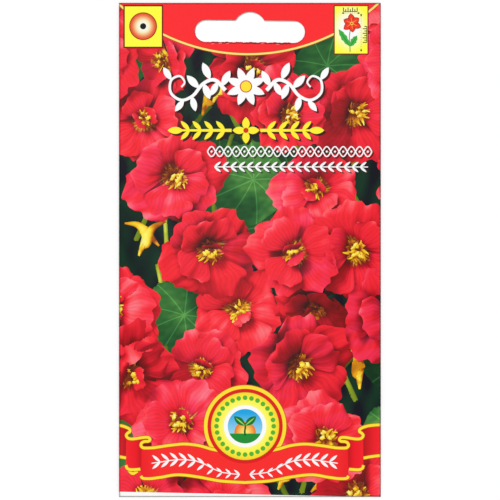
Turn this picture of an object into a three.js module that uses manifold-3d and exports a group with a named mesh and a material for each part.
// A printed paper seed packet, filled, glued shut and lying on its back.
//
// Millimetres. The origin is the middle of the footprint, on the surface that the packet lies on.
// +X runs across the front, +Y up it towards the hang slot, +Z out of the printed front.
//
// One blank makes the whole packet. Its front panel carries four folds: the full back panel on the left,
// a narrow side flap on the right that the back panel is glued over, and the bottom and top flaps, which
// fold over the back panel and are glued to it. The hang slot is punched through every layer.
import * as THREE from "three";
import { mergeVertices } from "three/addons/utils/BufferGeometryUtils.js";
import Module from "manifold-3d";

// Driving dimensions.
const PACKET_WIDTH = 80;
const PACKET_HEIGHT = 151;
const PAPER = 0.2; // thickness of the coated paper
const GLUE_GAP = 0.1; // room between two glued layers
const GLUE_FILM = 0.06; // thickness of the dried film in that room
const FLAP_GLUE_MARGIN = 1.5; // from a flap's free edge, or the slot, to its glue
const SIDE_FLAP_WIDTH = 12;
const BOTTOM_FLAP_LENGTH = 14;
const TOP_FLAP_LENGTH = 20;
const FLAP_TAPER = 3; // how far a flap's corners pull in at its free edge
const PILLOW_RISE = 5.6; // how far the seeds lift the middle of the front
const SLOT_WIDTH = 33.6;
const SLOT_HEIGHT = 6.7;
const SLOT_FROM_TOP = 5.2; // from the top edge to the slot's straight upper side
const CROWN_RADIUS = 5; // the round crown over the slot, where a peg sits
const CROWN_RISE = 2.6;
const SEED_COUNT = 10;
const SEED_SIZE = new THREE.Vector3(6.8, 5.8, 4.8);

// Levels of the layers, from the surface up. Each is the middle of the paper's thickness.
const LAYER = PAPER + GLUE_GAP;
const FLAP_LEVEL = PAPER / 2;
const BACK_ON_FLAP = FLAP_LEVEL + LAYER;
const BACK_ON_TABLE = PAPER / 2; // between the flaps the back panel sags to the surface
const FRONT_EDGE_LEVEL = 1;

// Places across and along the packet.
const HALF_WIDTH = PACKET_WIDTH / 2;
const HALF_HEIGHT = PACKET_HEIGHT / 2;
const END_FOLD_RADIUS = (FRONT_EDGE_LEVEL - FLAP_LEVEL) / 2; // of the bottom and top folds, at mid paper
const FOLD_START = HALF_HEIGHT - END_FOLD_RADIUS - PAPER / 2; // where those folds leave the front panel
const FRONT_HALF = HALF_WIDTH - 0.6; // where the side folds leave the front panel
const BACK_EDGE = HALF_WIDTH - 0.8; // the back panel's free edge
const END_OVERLAP = 0.5; // how far an end strip runs into the front panel
const END_HALF_WIDTH = HALF_WIDTH - 0.8; // an end strip is a little narrower than the packet
const BOTTOM_FLAP_EDGE = -HALF_HEIGHT + BOTTOM_FLAP_LENGTH;
const TOP_FLAP_EDGE = HALF_HEIGHT - TOP_FLAP_LENGTH;
const SAG_LENGTH = 4; // over which the back panel comes down off a flap
const POCKET_BOTTOM = -FOLD_START + 0.8;
const POCKET_TOP = TOP_FLAP_EDGE - 1;
const PILLOW_CREST = -26;
const SLOT_TOP = HALF_HEIGHT - SLOT_FROM_TOP;
const SLOT_MIDDLE = SLOT_TOP - SLOT_HEIGHT / 2;
const CROWN_CENTRE = SLOT_TOP + CROWN_RISE - CROWN_RADIUS;

// How many steps each stretch of the blank is split into.
const BACK_STEPS = 4;
const FOLD_STEPS = 6;
const FRONT_STEPS = 22;
const SIDE_FLAP_STEPS = 2;
const POCKET_STEPS = 26;
const ARC_STEPS = 10;

const PAPER_FINISH = new THREE.MeshStandardMaterial({ color: 0xe0303a, roughness: 0.45, metalness: 0 });
const GLUE_FINISH = new THREE.MeshStandardMaterial({ color: 0xe9e2cc, roughness: 0.6, metalness: 0 });
const SEED_FINISH = new THREE.MeshStandardMaterial({ color: 0xa98a5f, roughness: 0.85, metalness: 0 });

const wasm = await Module();
wasm.setup();

// A closed geometry as a solid that can be joined and cut.
function solidOf(geometry) {
  const bare = geometry.index ? geometry.toNonIndexed() : geometry.clone();
  const points = new THREE.BufferGeometry().setAttribute("position", bare.getAttribute("position"));
  const merged = mergeVertices(points, 1e-5);
  return new wasm.Manifold(
    new wasm.Mesh({
      numProp: 3,
      vertProperties: merged.attributes.position.array,
      triVerts: new Uint32Array(merged.index.array),
    }),
  );
}

function geometryOf(solid) {
  const mesh = solid.getMesh();
  const geometry = new THREE.BufferGeometry();
  geometry.setAttribute("position", new THREE.BufferAttribute(mesh.vertProperties, 3));
  geometry.setIndex(new THREE.BufferAttribute(mesh.triVerts, 1));
  geometry.computeVertexNormals();
  return geometry;
}

// A smooth step from 0 to 1 as value goes from start to end.
function ease(value, start, end) {
  const share = THREE.MathUtils.clamp((value - start) / (end - start), 0, 1);
  return share * share * (3 - 2 * share);
}

// The back panel's level: on the table between the flaps, and a layer higher where it lies on one.
function backLevel(y) {
  const onBottom = 1 - ease(y, BOTTOM_FLAP_EDGE + 0.5, BOTTOM_FLAP_EDGE + 0.5 + SAG_LENGTH);
  const onTop = ease(y, TOP_FLAP_EDGE - 0.5 - SAG_LENGTH, TOP_FLAP_EDGE - 0.5);
  return BACK_ON_TABLE + (BACK_ON_FLAP - BACK_ON_TABLE) * Math.max(onBottom, onTop);
}

// The pillow that the seeds make of the front panel: 1 at its crest and 0 at the pocket's ends and sides.
function pillow(x, y) {
  if (y <= POCKET_BOTTOM || y >= POCKET_TOP) return 0;
  const reach = y < PILLOW_CREST ? PILLOW_CREST - POCKET_BOTTOM : POCKET_TOP - PILLOW_CREST;
  const share = 1 - Math.abs(y - PILLOW_CREST) / reach;
  const along = Math.sin((share * Math.PI) / 2) ** (y < PILLOW_CREST ? 0.95 : 1.4);
  const across = 1 - Math.min(1, Math.abs(x) / FRONT_HALF) ** 2.6;
  return along * across;
}

function frontLevel(x, y) {
  return FRONT_EDGE_LEVEL + PILLOW_RISE * pillow(x, y);
}

// The blank's run across the packet at one Y, from the back panel's free edge round to the side flap's.
// Each entry is a point at mid paper and the way that its printed side faces, both in X and Z.
function runAcross(y) {
  const run = [];
  const back = backLevel(y);
  const flap = back + LAYER;
  const leftRadius = (FRONT_EDGE_LEVEL - back) / 2;
  const rightRadius = (FRONT_EDGE_LEVEL - flap) / 2;
  const leftCentre = -HALF_WIDTH + PAPER / 2 + leftRadius;
  const rightCentre = HALF_WIDTH - PAPER / 2 - rightRadius;
  for (let i = 0; i < BACK_STEPS; i++) {
    const x = THREE.MathUtils.lerp(BACK_EDGE, leftCentre, i / BACK_STEPS);
    run.push({ x, z: back, nx: 0, nz: -1 });
  }
  for (let i = 0; i <= FOLD_STEPS; i++) {
    const turn = (Math.PI * i) / FOLD_STEPS;
    const [nx, nz] = i === 0 ? [0, -1] : i === FOLD_STEPS ? [0, 1] : [-Math.sin(turn), -Math.cos(turn)];
    run.push({ x: leftCentre + leftRadius * nx, z: back + leftRadius + leftRadius * nz, nx, nz });
  }
  for (let i = 0; i <= FRONT_STEPS; i++) {
    const x = THREE.MathUtils.lerp(-FRONT_HALF, FRONT_HALF, i / FRONT_STEPS);
    const atEdge = i === 0 || i === FRONT_STEPS;
    const slope = atEdge ? 0 : (frontLevel(x + 0.1, y) - frontLevel(x - 0.1, y)) / 0.2;
    const length = Math.hypot(slope, 1);
    run.push({ x, z: frontLevel(x, y), nx: -slope / length, nz: 1 / length });
  }
  for (let i = 0; i <= FOLD_STEPS; i++) {
    const turn = (Math.PI * i) / FOLD_STEPS;
    const [nx, nz] = i === 0 ? [0, 1] : i === FOLD_STEPS ? [0, -1] : [Math.sin(turn), Math.cos(turn)];
    run.push({ x: rightCentre + rightRadius * nx, z: flap + rightRadius + rightRadius * nz, nx, nz });
  }
  for (let i = 1; i <= SIDE_FLAP_STEPS; i++) {
    const x = THREE.MathUtils.lerp(rightCentre, HALF_WIDTH - SIDE_FLAP_WIDTH, i / SIDE_FLAP_STEPS);
    run.push({ x, z: flap, nx: 0, nz: -1 });
  }
  return run;
}

// A closed skin round matching rows of outer and inner points.
function skin(outer, inner) {
  const rows = outer.length;
  const width = outer[0].length;
  const positions = [...outer.flat(), ...inner.flat()].flat();
  const outside = (i, j) => i * width + j;
  const inside = (i, j) => rows * width + i * width + j;
  const index = [];
  const quad = (a, b, c, d) => index.push(a, b, c, a, c, d);
  for (let i = 0; i + 1 < rows; i++) {
    for (let j = 0; j + 1 < width; j++) {
      quad(outside(i, j), outside(i, j + 1), outside(i + 1, j + 1), outside(i + 1, j));
      quad(inside(i, j), inside(i + 1, j), inside(i + 1, j + 1), inside(i, j + 1));
    }
    quad(outside(i, 0), outside(i + 1, 0), inside(i + 1, 0), inside(i, 0));
    const last = width - 1;
    quad(outside(i, last), inside(i, last), inside(i + 1, last), outside(i + 1, last));
  }
  for (let j = 0; j + 1 < width; j++) {
    const end = rows - 1;
    quad(outside(0, j), inside(0, j), inside(0, j + 1), outside(0, j + 1));
    quad(outside(end, j), outside(end, j + 1), inside(end, j + 1), inside(end, j));
  }
  const geometry = new THREE.BufferGeometry();
  geometry.setAttribute("position", new THREE.Float32BufferAttribute(positions, 3));
  geometry.setIndex(index);
  return geometry;
}

// Stations along Y: close together over the pillow and the back panel's two ramps, and none between.
function stationsAlong() {
  const marks = [-FOLD_START, POCKET_BOTTOM, POCKET_TOP, FOLD_START];
  for (let i = 1; i < POCKET_STEPS; i++) {
    marks.push(THREE.MathUtils.lerp(POCKET_BOTTOM, POCKET_TOP, i / POCKET_STEPS));
  }
  for (const share of [0, 0.25, 0.5, 0.75, 1]) {
    marks.push(BOTTOM_FLAP_EDGE + 0.5 + SAG_LENGTH * share);
    marks.push(TOP_FLAP_EDGE - 0.5 - SAG_LENGTH * share);
  }
  marks.sort((a, b) => a - b);
  return marks.filter((mark, i) => i === 0 || mark - marks[i - 1] > 0.35);
}

// The front panel with its left fold, back panel, right fold and side flap.
function wrap() {
  const outer = [];
  const inner = [];
  for (const y of stationsAlong()) {
    const run = runAcross(y);
    outer.push(run.map((p) => [p.x + (p.nx * PAPER) / 2, y, p.z + (p.nz * PAPER) / 2]));
    inner.push(run.map((p) => [p.x - (p.nx * PAPER) / 2, y, p.z - (p.nz * PAPER) / 2]));
  }
  return solidOf(skin(outer, inner));
}

// An outline in Y and Z, drawn out along X to both sides of the middle.
function drawnAcross(outline, halfWidth) {
  const geometry = new THREE.ExtrudeGeometry(outline, { depth: 2 * halfWidth, bevelEnabled: false });
  geometry.translate(0, 0, -halfWidth);
  const toRow = new THREE.Matrix4().makeBasis(
    new THREE.Vector3(0, 1, 0),
    new THREE.Vector3(0, 0, 1),
    new THREE.Vector3(1, 0, 0),
  );
  return geometry.applyMatrix4(toRow);
}

// An end strip: a little of the front panel, the fold under it and the flap.
// side is -1 at the bottom and 1 at the top.
function endStrip(side, flapLength) {
  const outerRadius = END_FOLD_RADIUS + PAPER / 2;
  const innerRadius = END_FOLD_RADIUS - PAPER / 2;
  const middle = FLAP_LEVEL + END_FOLD_RADIUS;
  const flapEdge = side * (HALF_HEIGHT - flapLength);
  const points = [new THREE.Vector2(side * (FOLD_START - END_OVERLAP), FRONT_EDGE_LEVEL + PAPER / 2)];
  const arc = (radius, from, to) => {
    for (let i = 0; i <= ARC_STEPS; i++) {
      const turn = THREE.MathUtils.lerp(from, to, i / ARC_STEPS);
      const level = i === 0 ? Math.sign(from) : i === ARC_STEPS ? Math.sign(to) : Math.sin(turn);
      const reach = FOLD_START + radius * Math.cos(turn);
      points.push(new THREE.Vector2(side * reach, middle + radius * level));
    }
  };
  arc(outerRadius, Math.PI / 2, -Math.PI / 2);
  points.push(new THREE.Vector2(flapEdge, FLAP_LEVEL - PAPER / 2));
  points.push(new THREE.Vector2(flapEdge, FLAP_LEVEL + PAPER / 2));
  arc(innerRadius, -Math.PI / 2, Math.PI / 2);
  points.push(new THREE.Vector2(side * (FOLD_START - END_OVERLAP), FRONT_EDGE_LEVEL - PAPER / 2));
  let strip = solidOf(drawnAcross(new THREE.Shape(points), END_HALF_WIDTH));
  for (const hand of [-1, 1]) strip = strip.subtract(taperCut(side, hand, flapEdge));
  return strip;
}

// The wedge that a flap's corner loses, from nothing at the fold to FLAP_TAPER at its free edge.
function taperCut(side, hand, flapEdge) {
  const foldEdge = side * (FOLD_START - 1);
  const wide = hand * (END_HALF_WIDTH + 1);
  const wedge = new THREE.Shape([
    new THREE.Vector2(wide, foldEdge),
    new THREE.Vector2(hand * END_HALF_WIDTH, foldEdge),
    new THREE.Vector2(hand * (END_HALF_WIDTH - FLAP_TAPER), flapEdge - side),
    new THREE.Vector2(wide, flapEdge - side),
  ]);
  const cut = new THREE.ExtrudeGeometry(wedge, { depth: 1 + PAPER + GLUE_GAP / 2, bevelEnabled: false });
  return solidOf(cut.translate(0, 0, -1));
}

// The hang slot: a long slot with round ends and a round crown in the middle of its upper side.
function slotCut() {
  const end = SLOT_HEIGHT / 2;
  const reach = SLOT_WIDTH / 2 - end;
  const crownHalf = Math.sqrt(CROWN_RADIUS ** 2 - (SLOT_TOP - CROWN_CENTRE) ** 2);
  const crownAngle = Math.acos(crownHalf / CROWN_RADIUS);
  const outline = new THREE.Shape();
  outline.absarc(-reach, SLOT_MIDDLE, end, -Math.PI / 2, Math.PI / 2, true);
  outline.lineTo(-crownHalf, SLOT_TOP);
  outline.absarc(0, CROWN_CENTRE, CROWN_RADIUS, Math.PI - crownAngle, crownAngle, true);
  outline.lineTo(reach, SLOT_TOP);
  outline.absarc(reach, SLOT_MIDDLE, end, Math.PI / 2, -Math.PI / 2, true);
  const depth = FRONT_EDGE_LEVEL + 4;
  const cut = new THREE.ExtrudeGeometry(outline, { depth, bevelEnabled: false, curveSegments: 14 });
  return solidOf(cut.translate(0, 0, -2));
}

function packetSheet() {
  const folded = wrap().add(endStrip(-1, BOTTOM_FLAP_LENGTH)).add(endStrip(1, TOP_FLAP_LENGTH));
  return geometryOf(folded.subtract(slotCut()));
}

// A flat bar of dried glue across the middle of the packet, from low to high along it.
function glueBar(halfWidth, low, high, bottom, top) {
  const bar = new THREE.BoxGeometry(2 * halfWidth, high - low, top - bottom);
  return bar.translate(0, (low + high) / 2, (bottom + top) / 2);
}

// The long film between the back panel and the side flap, which follows the back panel's ramps.
function sideGlue() {
  const left = HALF_WIDTH - SIDE_FLAP_WIDTH + 1.5;
  const right = BACK_EDGE - 1;
  const outer = [];
  const inner = [];
  for (const y of stationsAlong().filter((mark) => Math.abs(mark) < FOLD_START - 0.5)) {
    const middle = backLevel(y) + LAYER / 2;
    outer.push([left, right].map((x) => [x, y, middle + GLUE_FILM / 2]));
    inner.push([left, right].map((x) => [x, y, middle - GLUE_FILM / 2]));
  }
  return skin(outer, inner);
}

// The bar of glue under the slot that shuts the pocket between the front and back panels.
function pocketGlue() {
  const clear = (GLUE_GAP - GLUE_FILM) / 2;
  const bottom = BACK_ON_FLAP + PAPER / 2 + clear;
  const top = FRONT_EDGE_LEVEL - PAPER / 2 - clear;
  const half = HALF_WIDTH - SIDE_FLAP_WIDTH - 1;
  return glueBar(half, POCKET_TOP + 1, POCKET_TOP + 4, bottom, top);
}

// The film between a flap and the back panel.
function flapGlue(low, high) {
  const middle = FLAP_LEVEL + LAYER / 2;
  const half = END_HALF_WIDTH - FLAP_TAPER - 2;
  return glueBar(half, low, high, middle - GLUE_FILM / 2, middle + GLUE_FILM / 2);
}

function bottomFlapGlue() {
  return flapGlue(-FOLD_START + 2, BOTTOM_FLAP_EDGE - FLAP_GLUE_MARGIN);
}

// The top flap is glued below the slot, so that none of the film shows in it.
function topFlapGlue() {
  return flapGlue(TOP_FLAP_EDGE + FLAP_GLUE_MARGIN, SLOT_TOP - SLOT_HEIGHT - FLAP_GLUE_MARGIN);
}

// Repeatable numbers from 0 to 1.
function seededDraws(seed) {
  let state = seed;
  return () => {
    state = (state * 1664525 + 1013904223) % 4294967296;
    return state / 4294967296;
  };
}

// One seed: a rounded, slightly three-sided nutlet with ribs from pole to pole, broken into wrinkles.
function seedGeometry(draw) {
  const geometry = new THREE.SphereGeometry(0.5, 20, 12);
  const position = geometry.getAttribute("position");
  const phase = draw() * 2 * Math.PI;
  const point = new THREE.Vector3();
  for (let i = 0; i < position.count; i++) {
    point.fromBufferAttribute(position, i);
    const round = Math.atan2(point.z, point.x);
    const off = Math.hypot(point.x, point.z) * 2; // 0 at a pole and 1 round the middle
    const rib = 0.05 * Math.cos(10 * round) * off;
    const wrinkle = 0.035 * Math.sin(4 * round + phase + 9 * point.y) * off;
    const threeSided = 0.06 * Math.cos(3 * round + phase) * off;
    point.multiplyScalar(1 + rib + wrinkle + threeSided - 0.06);
    position.setXYZ(i, point.x * SEED_SIZE.x, point.y * SEED_SIZE.y, point.z * SEED_SIZE.z);
  }
  const size = 0.9 + 0.12 * draw();
  geometry.scale(size, size, size);
  geometry.rotateZ(draw() * Math.PI);
  return geometry;
}

// Seeds spread in one layer over the pocket, on the back panel, each a golden angle on from the last.
function seeds() {
  const draw = seededDraws(7);
  const group = new THREE.Group();
  const goldenAngle = Math.PI * (3 - Math.sqrt(5));
  const spread = new THREE.Vector2(5.1, 7.2);
  for (let i = 0; i < SEED_COUNT; i++) {
    const geometry = seedGeometry(draw);
    geometry.computeBoundingBox();
    const out = Math.sqrt(i + 0.5);
    const floor = BACK_ON_TABLE + PAPER / 2 + 0.02;
    geometry.translate(
      spread.x * out * Math.cos(i * goldenAngle),
      PILLOW_CREST + 1 + spread.y * out * Math.sin(i * goldenAngle),
      floor - geometry.boundingBox.min.z,
    );
    group.add(named(`seed_${String(i + 1).padStart(2, "0")}`, geometry, SEED_FINISH));
  }
  return group;
}

function named(name, geometry, material) {
  const mesh = new THREE.Mesh(geometry, material);
  mesh.name = name;
  return mesh;
}

const packet = new THREE.Group();
packet.add(named("packet_sheet", packetSheet(), PAPER_FINISH));
packet.add(named("glue_side_seam", sideGlue(), GLUE_FINISH));
packet.add(named("glue_bottom_flap", bottomFlapGlue(), GLUE_FINISH));
packet.add(named("glue_top_flap", topFlapGlue(), GLUE_FINISH));
packet.add(named("glue_pocket_top", pocketGlue(), GLUE_FINISH));
packet.add(seeds());

export default packet;
